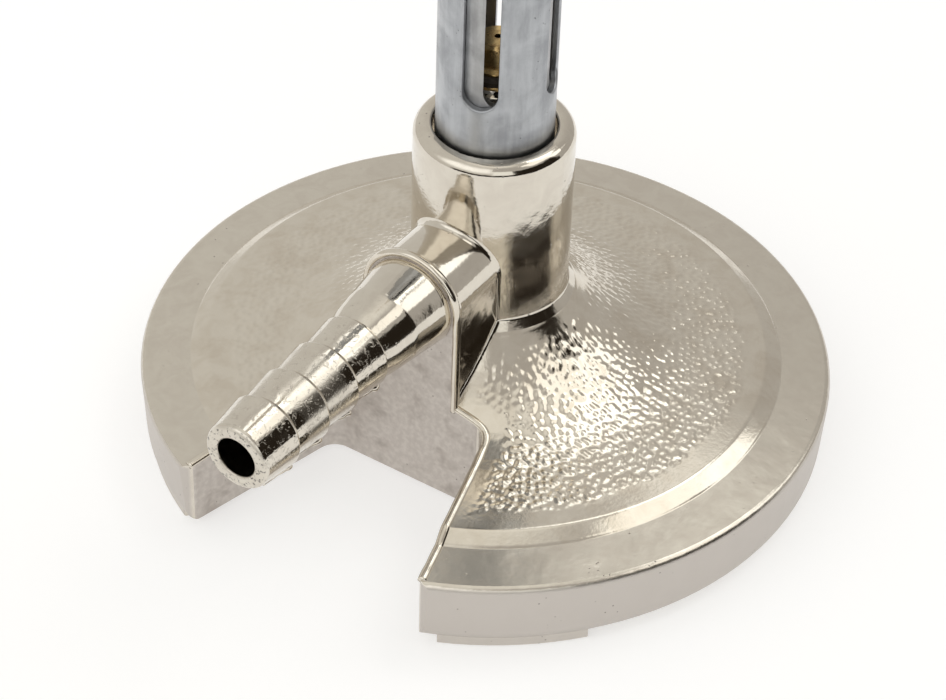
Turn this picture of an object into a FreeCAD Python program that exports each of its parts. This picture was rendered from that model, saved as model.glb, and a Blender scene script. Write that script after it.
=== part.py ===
import FreeCAD, Part
import math
import os
import re

import Sketcher
from FreeCAD import Vector

# A laboratory gas burner with a heavy cast foot, a side hose tail and a slotted air sleeve.
# Frame: origin on the burner axis at bench level, +Z up, the hose tail points along -Y.
# Every length is in millimetres and every angle in degrees; heights are above the bench.

SIZES = {
    # foot casting: the disc
    "base_radius": 42.5,
    "pad_height": 1.1,
    "rim_height": 9.8,
    "wall_draft": 0.4,
    "wall_foot_round": 1.6,
    "rim_round": 0.8,
    "ring_width": 6.1,
    "ring_rise": 0.6,
    "step_width": 2.0,
    "step_rise": 1.1,
    "dome_flat_width": 7.4,
    "dome_flat_rise": 0.75,
    "dome_sweep_radius": 24.5,
    "cavity_wall": 3.4,
    "cavity_core_radius": 13.0,
    "cavity_sweep": 276.0,
    "cavity_core_rise": 3.0,
    # foot casting: pads under the rim
    "pad_sweep": 24.0,
    "pad_turn": 38.0,
    "pad_width": 3.2,
    "pad_inset": 0.35,
    "pad_round": 0.6,
    # foot casting: the notch below the hose tail
    "notch_distance": 17.0,
    "notch_half_width": 11.0,
    "notch_rim_half_width": 16.3,
    "notch_corner": 1.5,
    "notch_inner_round": 2.0,
    # foot casting: the column and its cup
    "column_wall": 2.25,
    "column_radius": "=cup_radius + column_wall",
    "column_foot_height": 21.9,
    "column_height": 44.0,
    "column_round": 1.5,
    "cup_gap": 0.33,
    "cup_radius": "=sleeve_radius + cup_gap",
    "cup_depth": 4.2,
    "cup_round": 0.4,
    # foot casting: the boss and the hose tail
    "tail_height": 28.4,
    "boss_radius": 6.0,
    "boss_fillet": 0.7,
    "boss_lip": 0.6,
    "boss_lip_length": 1.0,
    "tail_root_radius": 5.8,
    "tail_root_length": 9.0,
    "barb_radius": 4.7,
    "barb_neck_radius": 4.22,
    "barb_neck_run": 1.6,
    "barb_count": 4.0,
    "barb_pitch": 5.5,
    "barb_step": 0.6,
    "tail_tip_radius": 4.1,
    "tail_tip_round": 0.7,
    "barb_round": 0.2,
    "tail_length": 50.1,
    "gas_bore": 5.0,
    "bore_mouth_round": 0.3,
    "riser_bore": 3.4,
    # foot casting: the nipple that carries the jet and the burner tube
    "nipple_gap": 0.05,
    "nipple_radius": "=mixer_bore / 2 - nipple_gap",
    "nipple_top": 51.5,
    "thread_pitch": 0.75,
    "thread_depth": 0.45,
    "thread_turns": 9.0,
    # gas jet and its washer
    "washer_thickness": 0.6,
    "washer_radius": 3.5,
    "jet_collar_radius": 3.1,
    "jet_collar_height": 0.7,
    "jet_flats": 5.0,
    "jet_hex_height": 2.9,
    "jet_shank_radius": 2.5,
    "jet_shank_length": 5.0,
    "jet_fit_gap": 0.02,
    "jet_orifice": 0.9,
    "jet_inner_bore": 2.4,
    "jet_chamfer": 0.35,
    # slotted mixing tube
    "mixer_radius": 6.1,
    "mixer_wall": 1.1,
    "mixer_bore": "=2 * (mixer_radius - mixer_wall)",
    "mixer_top": 95.0,
    "mixer_collar_rise": 1.9,
    "mixer_collar_radius": "=mixer_radius + mixer_collar_rise",
    "mixer_collar_height": 9.0,
    "mixer_edge": 0.6,
    "air_slot_bottom": 49.9,
    "air_slot_length": 24.0,
    "mixer_slot_width": 4.0,
    "mixer_slot_turn": 37.1,
    "air_slot_count": 4.0,
    # air sleeve
    "sleeve_wall": 0.8,
    "sleeve_radius": "=mixer_radius + sleeve_gap + sleeve_wall",
    "sleeve_gap": 0.07,
    "sleeve_end_gap": 0.3,
    "sleeve_slot_width": 4.2,
    "sleeve_slot_turn": 15.6,
    "sleeve_slot_edge": 0.25,
    "grip_rise": 1.43,
    "grip_radius": "=sleeve_radius + grip_rise",
    "grip_height": 6.5,
    "grip_edge": 0.7,
    "grip_flutes": 30.0,
    "flute_width": 0.9,
    "flute_depth": 0.45,
    # friction ring between the sleeve and the mixing tube
    "ring_wire": 0.9,
    "ring_sweep": 318.0,
    "ring_groove_gap": 0.06,
    # burner barrel
    "barrel_shoulder": 0.45,
    "barrel_radius": "=barrel_spigot_radius + barrel_shoulder",
    "spigot_wall": 0.6,
    "barrel_bore": "=2 * (barrel_spigot_radius - spigot_wall)",
    "spigot_ledge": 0.9,
    "barrel_spigot_radius": "=mixer_bore / 2 + spigot_ledge",
    "barrel_top": 152.0,
    "barrel_socket": 8.0,
    "barrel_edge": 0.25,
}

FULL_TURN = 360.0

doc = FreeCAD.newDocument("bench_burner")
sheet = doc.addObject("Spreadsheet::Sheet", "Sizes")
for row, alias in enumerate(SIZES, start=1):
    sheet.set("A%d" % row, alias)
    sheet.setAlias("B%d" % row, alias)
for row, value in enumerate(SIZES.values(), start=1):
    sheet.set("B%d" % row, str(value))
doc.recompute()


def bound(formula):
    """Write a formula over the size names as an expression that any object can hold."""
    return re.sub(r"[a-z_]{3,}", lambda m: "Sizes." + m.group() if m.group() in SIZES else m.group(), formula)


def amount(formula):
    """The present value of a formula over the size names."""
    value = sheet.evalExpression(bound(formula).replace("Sizes.", ""))
    return float(getattr(value, "Value", value))


def bind(target, **formulas):
    for prop, formula in formulas.items():
        target.setExpression(prop, bound(formula))


def new_body(label):
    body = doc.addObject("PartDesign::Body", label)
    body.Label = label
    return body


def new_sketch(body, name, plane="XY_Plane", lift=None):
    """A sketch on one of the body's own origin planes, lifted off it by a formula."""
    sketch = body.newObject("Sketcher::SketchObject", name)
    support = [f for f in body.Origin.OriginFeatures if f.Role == plane][0]
    sketch.AttachmentSupport = [(support, "")]
    sketch.MapMode = "FlatFace"
    if lift:
        sketch.setExpression("AttachmentOffset.Base.z", bound(lift))
    return sketch


def pin_point(sketch, edge, end, across, up):
    """Hold one end of an edge at two formulas, measured from the sketch's origin."""
    for kind, formula, axis in (("DistanceX", across, -2), ("DistanceY", up, -1)):
        if formula == "0":
            sketch.addConstraint(Sketcher.Constraint("PointOnObject", edge, end, axis))
            continue
        index = sketch.addConstraint(Sketcher.Constraint(kind, edge, end, amount(formula)))
        sketch.setExpression("Constraints[%d]" % index, bound(formula))


def arc_between(start, finish, radius):
    """An arc that turns anticlockwise from start to finish with the given radius, under half a turn."""
    chord = finish - start
    half = chord.Length / 2
    rise = math.sqrt(max(radius * radius - half * half, 0.0))
    centre = (start + finish) / 2 + Vector(-chord.y, chord.x, 0).normalize() * rise
    from_angle = math.atan2(start.y - centre.y, start.x - centre.x)
    to_angle = math.atan2(finish.y - centre.y, finish.x - centre.x)
    return Part.ArcOfCircle(Part.Circle(centre, Vector(0, 0, 1), radius), from_angle, to_angle)


def outline(sketch, corners, arcs=None):
    """A closed outline through corners given as pairs of formulas.

    arcs maps the number of a corner to (radius formula, clockwise): the edge that leaves this
    corner is then an arc instead of a straight line.
    """
    arcs = arcs or {}
    points = [Vector(amount(across), amount(up), 0) for across, up in corners]
    starts = []
    for number, start in enumerate(points):
        finish = points[(number + 1) % len(points)]
        if number not in arcs:
            edge = sketch.addGeometry(Part.LineSegment(start, finish), False)
            starts.append((edge, 1, 2))
            continue
        radius, clockwise = arcs[number]
        if clockwise:
            edge = sketch.addGeometry(arc_between(finish, start, amount(radius)), False)
            starts.append((edge, 2, 1))
        else:
            edge = sketch.addGeometry(arc_between(start, finish, amount(radius)), False)
            starts.append((edge, 1, 2))
        index = sketch.addConstraint(Sketcher.Constraint("Radius", edge, amount(radius)))
        sketch.setExpression("Constraints[%d]" % index, bound(radius))
    for number, (edge, first, last) in enumerate(starts):
        following, follow_first, _ = starts[(number + 1) % len(starts)]
        sketch.addConstraint(Sketcher.Constraint("Coincident", edge, last, following, follow_first))
        pin_point(sketch, edge, first, *corners[number])


def circle(sketch, radius, across="0", up="0"):
    centre = Vector(amount(across), amount(up), 0)
    edge = sketch.addGeometry(Part.Circle(centre, Vector(0, 0, 1), amount(radius)), False)
    index = sketch.addConstraint(Sketcher.Constraint("Radius", edge, amount(radius)))
    sketch.setExpression("Constraints[%d]" % index, bound(radius))
    pin_point(sketch, edge, 3, across, up)


def feature(body, kind, name, sketch=None, changes_volume=True, **values):
    """Add a feature, compute it and make sure that it really added or removed material."""
    before = body.Shape.Volume if not body.Shape.isNull() else 0.0
    made = body.newObject("PartDesign::" + kind, name)
    if sketch:
        made.Profile = sketch
        sketch.Visibility = False
    for prop, value in values.items():
        if isinstance(value, str) and prop not in ("Type", "SideType", "ChamferType"):
            made.setExpression(prop, bound(value))
        else:
            setattr(made, prop, value)
    doc.recompute()
    if not made.isValid() or made.Shape.isNull():
        raise RuntimeError("%s failed: %s" % (name, made.getStatusString()))
    if changes_volume and abs(body.Shape.Volume - before) < 1e-4:
        raise RuntimeError("%s changed nothing" % name)
    return made


def revolve(body, sketch, name, kind="Revolution", axis="V_Axis", sweep="360", midplane=False):
    return feature(body, kind, name, sketch, ReferenceAxis=(sketch, [axis]), Angle=sweep, Midplane=midplane)


def around_axis(body, name, made, count):
    """Repeat a feature around the burner's axis."""
    pattern = body.newObject("PartDesign::PolarPattern", name)
    pattern.Originals = [made]
    axis = [f for f in body.Origin.OriginFeatures if f.Role == "Z_Axis"][0]
    pattern.Axis = (axis, [""])
    pattern.Angle = FULL_TURN
    bind(pattern, Occurrences=count)
    before = body.Shape.Volume
    body.Tip = pattern
    doc.recompute()
    if abs(body.Shape.Volume - before) < 1e-4:
        raise RuntimeError("%s changed nothing" % name)
    return pattern


def edges_where(body, test):
    """The names of the body's edges whose shape passes a test."""
    return ["Edge%d" % (n + 1) for n, edge in enumerate(body.Shape.Edges) if test(edge)]


def dress(body, kind, name, test, **values):
    """Fillet or chamfer every edge that passes a test."""
    names = edges_where(body, test)
    if not names:
        raise RuntimeError("%s found no edge" % name)
    return feature(body, kind, name, Base=(body.Tip, names), **values)


def is_ring(edge, radius, height, slack=0.02):
    """Is this edge a circle or arc about the burner's axis at this radius and height?"""
    curve = edge.Curve
    if not isinstance(curve, Part.Circle) or abs(curve.Axis.z) < 0.999:
        return False
    on_axis = math.hypot(curve.Center.x, curve.Center.y) < slack
    return on_axis and abs(curve.Radius - radius) < slack and abs(curve.Center.z - height) < slack


def is_tail_ring(edge, radius, distance, slack=0.02):
    """Is this edge a circle or arc about the tail's axis, with this radius, at this distance from the column?"""
    curve = edge.Curve
    if not isinstance(curve, Part.Circle) or abs(curve.Axis.y) < 0.999:
        return False
    on_axis = math.hypot(curve.Center.x, curve.Center.z - amount("tail_height")) < slack
    return on_axis and abs(curve.Radius - radius) < slack and abs(curve.Center.y + distance) < slack


def slot_outline(sketch, width, bottom, length):
    """An upright slot with round ends, centred on the sketch's upright axis."""
    half = "%s / 2" % width
    low = "%s + %s" % (bottom, half)
    high = "%s + %s - %s" % (bottom, length, half)
    reach = amount(half)
    ends = (amount(low), amount(high))
    up = Vector(0, 0, 1)
    foot = sketch.addGeometry(Part.ArcOfCircle(Part.Circle(Vector(0, ends[0], 0), up, reach), -math.pi, 0), False)
    right = sketch.addGeometry(Part.LineSegment(Vector(reach, ends[0], 0), Vector(reach, ends[1], 0)), False)
    head = sketch.addGeometry(Part.ArcOfCircle(Part.Circle(Vector(0, ends[1], 0), up, reach), 0, math.pi), False)
    left = sketch.addGeometry(Part.LineSegment(Vector(-reach, ends[1], 0), Vector(-reach, ends[0], 0)), False)
    loop = (foot, right, head, left)
    for number, edge in enumerate(loop):
        sketch.addConstraint(Sketcher.Constraint("Tangent", edge, 2, loop[(number + 1) % 4], 1))
    sketch.addConstraint(Sketcher.Constraint("Equal", foot, head))
    index = sketch.addConstraint(Sketcher.Constraint("Radius", foot, reach))
    sketch.setExpression("Constraints[%d]" % index, bound(half))
    pin_point(sketch, foot, 3, "0", low)
    pin_point(sketch, head, 3, "0", high)


# ---------------------------------------------------------------- foot casting

RING_RADIUS = "base_radius - ring_width"
RING_HEIGHT = "rim_height + ring_rise"
DOME_EDGE_RADIUS = RING_RADIUS + " - step_width"
DOME_EDGE_HEIGHT = RING_HEIGHT + " + step_rise"
SWEEP_START_RADIUS = DOME_EDGE_RADIUS + " - dome_flat_width"
SWEEP_START_HEIGHT = DOME_EDGE_HEIGHT + " + dome_flat_rise"
CUP_FLOOR = "column_height - cup_depth"


def add_foot_and_column(body):
    """The turned shape: rim wall, flat ring, step, swept dome, column, cup and nipple."""
    sketch = new_sketch(body, "casting_outline", "XZ_Plane")
    corners = [
        ("0", "pad_height"),
        ("base_radius - wall_draft", "pad_height"),
        ("base_radius", "rim_height"),
        (RING_RADIUS, RING_HEIGHT),
        (DOME_EDGE_RADIUS, DOME_EDGE_HEIGHT),
        (SWEEP_START_RADIUS, SWEEP_START_HEIGHT),
        ("column_radius", "column_foot_height"),
        ("column_radius", "column_height"),
        ("cup_radius", "column_height"),
        ("cup_radius", CUP_FLOOR),
        ("nipple_radius", CUP_FLOOR),
        ("nipple_radius", "nipple_top"),
        ("0", "nipple_top"),
    ]
    outline(sketch, corners, arcs={5: ("dome_sweep_radius", True)})
    revolve(body, sketch, "casting")
    rounds = (
        ("rim_rounding", "rim_round", "base_radius", "rim_height"),
        ("wall_foot_rounding", "wall_foot_round", "base_radius - wall_draft", "pad_height"),
        ("dome_edge_rounding", "step_width / 3", DOME_EDGE_RADIUS, DOME_EDGE_HEIGHT),
        ("column_lip", "column_round", "column_radius", "column_height"),
        ("cup_mouth", "cup_round", "cup_radius", "column_height"),
    )
    for name, radius, ring_radius, ring_height in rounds:
        place = (amount(ring_radius), amount(ring_height))
        dress(body, "Fillet", name, lambda e: is_ring(e, *place), Radius=radius)


def add_cavity(body):
    """The underside is cored out all round, except for the solid sector under the hose tail."""
    sketch = new_sketch(body, "cavity_outline", "YZ_Plane")
    ceiling = SWEEP_START_HEIGHT + " - cavity_wall"
    corners = [
        ("cavity_core_radius", "0"),
        ("base_radius - wall_draft - cavity_wall", "0"),
        ("base_radius - wall_draft - cavity_wall", "rim_height - cavity_wall"),
        (SWEEP_START_RADIUS, ceiling),
        ("cavity_core_radius", ceiling + " + cavity_core_rise"),
    ]
    outline(sketch, corners)
    revolve(body, sketch, "cavity", kind="Groove", sweep="cavity_sweep", midplane=True)


RIM_CORNER = "sqrt(base_radius^2 - notch_rim_half_width^2)"
NOTCH_SLOPE = "((notch_rim_half_width - notch_half_width) / (%s - notch_distance))" % RIM_CORNER


def add_notch(body):
    """A wedge is missing from the rim in to the boss, so that the hose clears the foot.

    Its inner corners are rounded, and so are the upright corners where its sides meet the rim.
    """
    sketch = new_sketch(body, "notch_outline")
    past_side = "(notch_rim_half_width + notch_corner)"
    right = [
        ("notch_half_width - notch_inner_round", "notch_distance"),
        ("notch_half_width + notch_inner_round * %s" % NOTCH_SLOPE, "notch_distance + notch_inner_round"),
        ("notch_rim_half_width - notch_corner * %s" % NOTCH_SLOPE, RIM_CORNER + " - notch_corner"),
        (past_side, "sqrt(base_radius^2 - %s^2)" % past_side),
        (past_side, "base_radius + notch_corner"),
    ]
    left = [("-(%s)" % across, "-(%s)" % reach) for across, reach in right]
    right = [(across, "-(%s)" % reach) for across, reach in reversed(right)]
    inner = ("notch_inner_round * 1.26", False)
    outer = ("notch_corner * 1.2", True)
    outline(sketch, left + right, arcs={0: inner, 2: outer, 6: outer, 8: inner})
    feature(body, "Pocket", "notch", sketch, Type="ThroughAll", Reversed=True)


def add_pads(body):
    """Four low pads cast under the rim carry the burner."""
    outer = "base_radius - wall_draft - pad_inset"
    turns = ("pad_turn", "-pad_turn", "180 - pad_turn", "180 + pad_turn")
    for number, turn in enumerate(turns, start=1):
        sketch = new_sketch(body, "pad_outline_%d" % number, "XZ_Plane")
        sketch.AttachmentOffset = FreeCAD.Placement(Vector(), FreeCAD.Rotation(Vector(0, 1, 0), 90))
        sketch.setExpression("AttachmentOffset.Rotation.Angle", bound("%s - 90" % turn))
        corners = [
            (outer + " - pad_width", "0"),
            (outer + " - pad_round", "0"),
            (outer, "pad_round"),
            (outer, "pad_height + wall_foot_round"),
            (outer + " - pad_width", "pad_height + wall_foot_round"),
        ]
        outline(sketch, corners, arcs={1: ("pad_round", False)})
        revolve(body, sketch, "pad_%d" % number, sweep="pad_sweep", midplane=True)


def arch(sketch, radius, foot):
    """A round-topped upright section whose round is centred on the gas passage."""
    corners = [("-(%s)" % radius, foot), (radius, foot), (radius, "tail_height"), ("-(%s)" % radius, "tail_height")]
    points = [Vector(amount(across), amount(up), 0) for across, up in corners]
    pairs = ((3, 0), (0, 1), (1, 2))
    lines = [sketch.addGeometry(Part.LineSegment(points[a], points[b]), False) for a, b in pairs]
    centre = Vector(0, points[2].y, 0)
    top = sketch.addGeometry(
        Part.ArcOfCircle(Part.Circle(centre, Vector(0, 0, 1), amount(radius)), 0, math.pi), False
    )
    sketch.addConstraint(Sketcher.Constraint("Coincident", lines[0], 2, lines[1], 1))
    sketch.addConstraint(Sketcher.Constraint("Coincident", lines[1], 2, lines[2], 1))
    sketch.addConstraint(Sketcher.Constraint("Tangent", lines[2], 2, top, 1))
    sketch.addConstraint(Sketcher.Constraint("Tangent", top, 2, lines[0], 1))
    pin_point(sketch, lines[1], 1, *corners[0])
    pin_point(sketch, lines[1], 2, *corners[1])
    pin_point(sketch, top, 3, "0", "tail_height")


def add_boss(body):
    """The web that carries the gas from the hose tail into the column, with a raised lip at its end."""
    sketch = new_sketch(body, "boss_outline", "XZ_Plane", lift="notch_distance")
    arch(sketch, "boss_radius", "rim_height / 2")
    feature(body, "Pad", "boss", sketch, Length="notch_distance", Reversed=True)
    sketch = new_sketch(body, "boss_lip_outline", "XZ_Plane", lift="notch_distance")
    arch(sketch, "boss_radius + boss_lip", "rim_height")
    feature(body, "Pad", "boss_lip", sketch, Length="boss_lip_length", Reversed=True)

    def in_root(edge):
        """Is this an edge where the column, the boss and the dome run into each other?"""
        span = edge.LastParameter - edge.FirstParameter
        points = [edge.valueAt(edge.FirstParameter + span * part) for part in (0, 0.5, 1)]
        foot = amount("column_foot_height")
        boss_top = amount("tail_height + boss_radius") + 0.1
        on_column = all(abs(math.hypot(p.x, p.y) - amount("column_radius")) < 0.02 for p in points)
        on_flank = all(abs(abs(p.x) - amount("boss_radius")) < 0.02 for p in points)
        around_foot = all(abs(p.z - foot) < 0.05 for p in points)
        round_boss = all(p.y < 0 and foot - 0.05 < p.z < boss_top for p in points)
        along_dome = all(amount(SWEEP_START_HEIGHT) < p.z < foot + 0.05 for p in points)
        return on_column and (around_foot or round_boss) or on_flank and along_dome

    dress(body, "Fillet", "boss_root", in_root, Radius="boss_fillet")


def add_hose_tail(body):
    """A tapering root and a row of barbs, each rising gently from the tip side and then stepping down."""
    sketch = new_sketch(body, "hose_tail_outline", "YZ_Plane")
    sketch.setExpression("AttachmentOffset.Base.y", bound("tail_height"))
    taper_end = "notch_distance + tail_root_length"
    corners = [
        ("-notch_distance / 2", "0"),
        ("-notch_distance / 2", "tail_root_radius"),
        ("-notch_distance", "tail_root_radius"),
        ("-(%s)" % taper_end, "barb_radius"),
    ]
    for number in range(int(amount("barb_count"))):
        neck = "%s + barb_neck_run + barb_pitch * %d" % (taper_end, number)
        corners.append(("-(%s)" % neck, "barb_neck_radius"))
        corners.append(("-(%s + barb_step)" % neck, "barb_radius"))
    corners.append(("-tail_length", "tail_tip_radius"))
    corners.append(("-tail_length", "0"))
    outline(sketch, corners)
    revolve(body, sketch, "hose_tail", axis="H_Axis")
    barbs = range(int(amount("barb_count")))

    def on_barb(edge):
        """Is this the sharp ring of a barb?"""
        rings = [amount("%s + barb_neck_run + barb_pitch * %d + barb_step" % (taper_end, n)) for n in barbs]
        return any(is_tail_ring(edge, amount("barb_radius"), place) for place in rings)

    def on_tip(edge):
        """Is this the outer ring of the tail's tip?"""
        return is_tail_ring(edge, amount("tail_tip_radius"), amount("tail_length"))

    dress(body, "Fillet", "barb_rounding", on_barb, Radius="barb_round")
    dress(body, "Fillet", "tail_tip_rounding", on_tip, Radius="tail_tip_round")


def add_gas_way(body):
    """The passage from the tail's tip to the axis, then up through the nipple to the jet's thread."""
    sketch = new_sketch(body, "tail_bore_outline", "XZ_Plane", lift="tail_length")
    circle(sketch, "gas_bore / 2", up="tail_height")
    # The hole runs on past the riser, so that the riser opens into its side.
    feature(body, "Pocket", "tail_bore", sketch, Length="tail_length + riser_bore")

    def on_mouth(edge):
        """Is this the ring where the bore opens at the tail's tip?"""
        return is_tail_ring(edge, amount("gas_bore / 2"), amount("tail_length"))

    dress(body, "Fillet", "bore_mouth_rounding", on_mouth, Radius="bore_mouth_round")
    sketch = new_sketch(body, "riser_outline", lift="nipple_top")
    circle(sketch, "riser_bore / 2")
    feature(body, "Pocket", "riser", sketch, Length="nipple_top - tail_height")
    sketch = new_sketch(body, "jet_seat_outline", lift="nipple_top")
    circle(sketch, "jet_shank_radius + jet_fit_gap")
    feature(body, "Pocket", "jet_seat", sketch, Length="jet_shank_length + washer_thickness")


def add_nipple_thread(body):
    """The nipple's screw thread, as a row of ring grooves of the same pitch and depth."""
    sketch = new_sketch(body, "thread_outline", "XZ_Plane")
    clear = "nipple_radius + thread_depth / 4"
    middle = "nipple_top - thread_pitch"
    corners = [
        ("nipple_radius - thread_depth", middle),
        (clear, middle + " - thread_pitch * 0.48"),
        (clear, middle + " + thread_pitch * 0.48"),
    ]
    outline(sketch, corners)
    turn = revolve(body, sketch, "thread_groove", kind="Groove")
    pattern = body.newObject("PartDesign::LinearPattern", "nipple_thread")
    pattern.Originals = [turn]
    axis = [f for f in body.Origin.OriginFeatures if f.Role == "Z_Axis"][0]
    pattern.Direction = (axis, [""])
    pattern.Reversed = True
    bind(pattern, Length="thread_pitch * (thread_turns - 1)", Occurrences="thread_turns")
    body.Tip = pattern
    doc.recompute()


def make_base_casting():
    body = new_body("base_casting")
    add_foot_and_column(body)
    add_cavity(body)
    add_notch(body)
    add_pads(body)
    add_boss(body)
    add_hose_tail(body)
    add_gas_way(body)
    add_nipple_thread(body)
    return body


# ---------------------------------------------------------------- gas jet and washer

WASHER_TOP = "nipple_top + washer_thickness"
COLLAR_TOP = WASHER_TOP + " + jet_collar_height"
JET_TOP = COLLAR_TOP + " + jet_hex_height"


def make_jet_washer():
    body = new_body("jet_washer")
    sketch = new_sketch(body, "washer_outline", lift="nipple_top")
    circle(sketch, "washer_radius")
    circle(sketch, "jet_shank_radius + jet_fit_gap")
    feature(body, "Pad", "washer", sketch, Length="washer_thickness")
    return body


def make_gas_jet():
    """A brass jet: threaded shank, collar and hexagon, drilled up from below to a fine orifice."""
    body = new_body("gas_jet")
    sketch = new_sketch(body, "jet_outline", "XZ_Plane")
    shank_end = WASHER_TOP + " - jet_shank_length"
    corners = [
        ("0", shank_end),
        ("jet_shank_radius", shank_end),
        ("jet_shank_radius", WASHER_TOP),
        ("jet_collar_radius", WASHER_TOP),
        ("jet_collar_radius", COLLAR_TOP + " - jet_collar_height / 2"),
        ("jet_flats / 2", COLLAR_TOP),
        ("0", COLLAR_TOP),
    ]
    outline(sketch, corners)
    revolve(body, sketch, "jet_shank")
    sketch = new_sketch(body, "jet_hexagon", lift=COLLAR_TOP + " - jet_collar_height / 2")
    corners = []
    for side in range(6):
        reach = "jet_flats / 2 / cos(30)"
        corners.append(("%s * cos(%d)" % (reach, 60 * side + 15), "%s * sin(%d)" % (reach, 60 * side + 15)))
    outline(sketch, corners)
    feature(body, "Pad", "jet_head", sketch, Length="jet_hex_height + jet_collar_height / 2")
    sketch = new_sketch(body, "jet_head_trim", "XZ_Plane")
    corners = [
        ("jet_flats / 2 - jet_chamfer", JET_TOP),
        ("jet_flats / 2 - jet_chamfer", JET_TOP + " + jet_chamfer"),
        ("jet_flats", JET_TOP + " + jet_chamfer"),
        ("jet_flats", JET_TOP + " - jet_flats / 2 - jet_chamfer"),
    ]
    outline(sketch, corners)
    revolve(body, sketch, "jet_head_chamfer", kind="Groove")
    sketch = new_sketch(body, "jet_bore_outline", lift=shank_end)
    circle(sketch, "jet_inner_bore / 2")
    inside = "jet_shank_length + jet_collar_height + jet_hex_height - jet_orifice * 2"
    feature(body, "Pocket", "jet_bore", sketch, Length=inside, Reversed=True)
    sketch = new_sketch(body, "orifice_outline", lift=JET_TOP)
    circle(sketch, "jet_orifice / 2")
    feature(body, "Pocket", "orifice", sketch, Length="jet_orifice * 3")
    return body


# ---------------------------------------------------------------- mixing tube, sleeve, ring and barrel

SLOT_TOP = "air_slot_bottom + air_slot_length"
SLEEVE_FOOT = CUP_FLOOR + " + sleeve_end_gap"
COLLAR_FOOT = "mixer_top - mixer_collar_height"
SLEEVE_TOP = COLLAR_FOOT + " - sleeve_end_gap"
SLEEVE_BORE = "mixer_radius + sleeve_gap"
RING_LEVEL = SLEEVE_TOP + " - grip_height / 2"
RING_CENTRE = "mixer_radius + ring_wire / 4"


def turn_about_axis(body, angle):
    """Turn a finished body about the burner's axis by a bound angle."""
    body.Placement = FreeCAD.Placement(Vector(), FreeCAD.Rotation(Vector(0, 0, 1), 1))
    body.setExpression("Placement.Rotation.Angle", bound(angle))


def cut_air_slots(body, width):
    sketch = new_sketch(body, "air_slot_outline", "XZ_Plane")
    slot_outline(sketch, width, "air_slot_bottom", "air_slot_length")
    slot = feature(body, "Pocket", "air_slot", sketch, Type="ThroughAll", Reversed=True)
    around_axis(body, "air_slots", slot, "air_slot_count")


def make_mixing_tube():
    """The slotted tube that screws down on the nipple, with a collar that traps the sleeve."""
    body = new_body("mixing_tube")
    sketch = new_sketch(body, "mixing_tube_outline", "XZ_Plane")
    groove_low = "%s - ring_wire / 2 - ring_groove_gap" % RING_LEVEL
    groove_high = "%s + ring_wire / 2 + ring_groove_gap" % RING_LEVEL
    groove_radius = "%s - ring_wire / 2" % RING_CENTRE
    socket_floor = "mixer_top - barrel_socket"
    corners = [
        ("mixer_bore / 2", CUP_FLOOR),
        ("mixer_radius", CUP_FLOOR),
        ("mixer_radius", groove_low),
        (groove_radius, groove_low),
        (groove_radius, groove_high),
        ("mixer_radius", groove_high),
        ("mixer_radius", COLLAR_FOOT),
        ("mixer_collar_radius", COLLAR_FOOT),
        ("mixer_collar_radius", "mixer_top - mixer_edge"),
        ("mixer_collar_radius - mixer_edge", "mixer_top"),
        ("barrel_spigot_radius", "mixer_top"),
        ("barrel_spigot_radius", socket_floor),
        ("mixer_bore / 2", socket_floor),
    ]
    outline(sketch, corners)
    revolve(body, sketch, "mixing_tube_wall")
    cut_air_slots(body, "mixer_slot_width")
    turn_about_axis(body, "mixer_slot_turn")
    return body


def make_air_sleeve():
    """The slotted sleeve that turns over the mixing tube to open or close the air ports."""
    body = new_body("air_sleeve")
    sketch = new_sketch(body, "air_sleeve_outline", "XZ_Plane")
    groove_low = "%s - ring_wire / 2 - ring_groove_gap" % RING_LEVEL
    groove_high = "%s + ring_wire / 2 + ring_groove_gap" % RING_LEVEL
    groove_radius = "%s + ring_wire / 2 + ring_groove_gap" % RING_CENTRE
    grip_foot = SLEEVE_TOP + " - grip_height"
    corners = [
        (SLEEVE_BORE, SLEEVE_FOOT),
        ("sleeve_radius", SLEEVE_FOOT),
        ("sleeve_radius", grip_foot + " - grip_radius + sleeve_radius"),
        ("grip_radius", grip_foot),
        ("grip_radius", SLEEVE_TOP + " - grip_edge"),
        ("grip_radius - grip_edge", SLEEVE_TOP),
        (SLEEVE_BORE, SLEEVE_TOP),
        (SLEEVE_BORE, groove_high),
        (groove_radius, groove_high),
        (groove_radius, groove_low),
        (SLEEVE_BORE, groove_low),
    ]
    outline(sketch, corners)
    revolve(body, sketch, "air_sleeve_wall")
    cut_air_slots(body, "sleeve_slot_width")

    def at_slot_mouth(edge):
        ends = [edge.valueAt(edge.FirstParameter), edge.valueAt(edge.LastParameter)]
        low = amount("air_slot_bottom") - 0.01
        high = amount(SLOT_TOP) + 0.01
        outside = all(abs(math.hypot(p.x, p.y) - amount("sleeve_radius")) < 0.01 for p in ends)
        return outside and all(low < p.z < high for p in ends)

    dress(body, "Fillet", "slot_edge_rounding", at_slot_mouth, Radius="sleeve_slot_edge")
    sketch = new_sketch(body, "flute_outline", lift=grip_foot + " - grip_radius + sleeve_radius")
    half = "flute_width / 2"
    near = "grip_radius - flute_depth"
    far = "grip_radius + flute_depth"
    corners = [("-" + half, far), ("0", near), (half, far)]
    outline(sketch, corners)
    flute = feature(body, "Pocket", "flute", sketch, Type="ThroughAll", Reversed=True)
    around_axis(body, "grip_flutes", flute, "grip_flutes")
    turn_about_axis(body, "sleeve_slot_turn")
    return body


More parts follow.
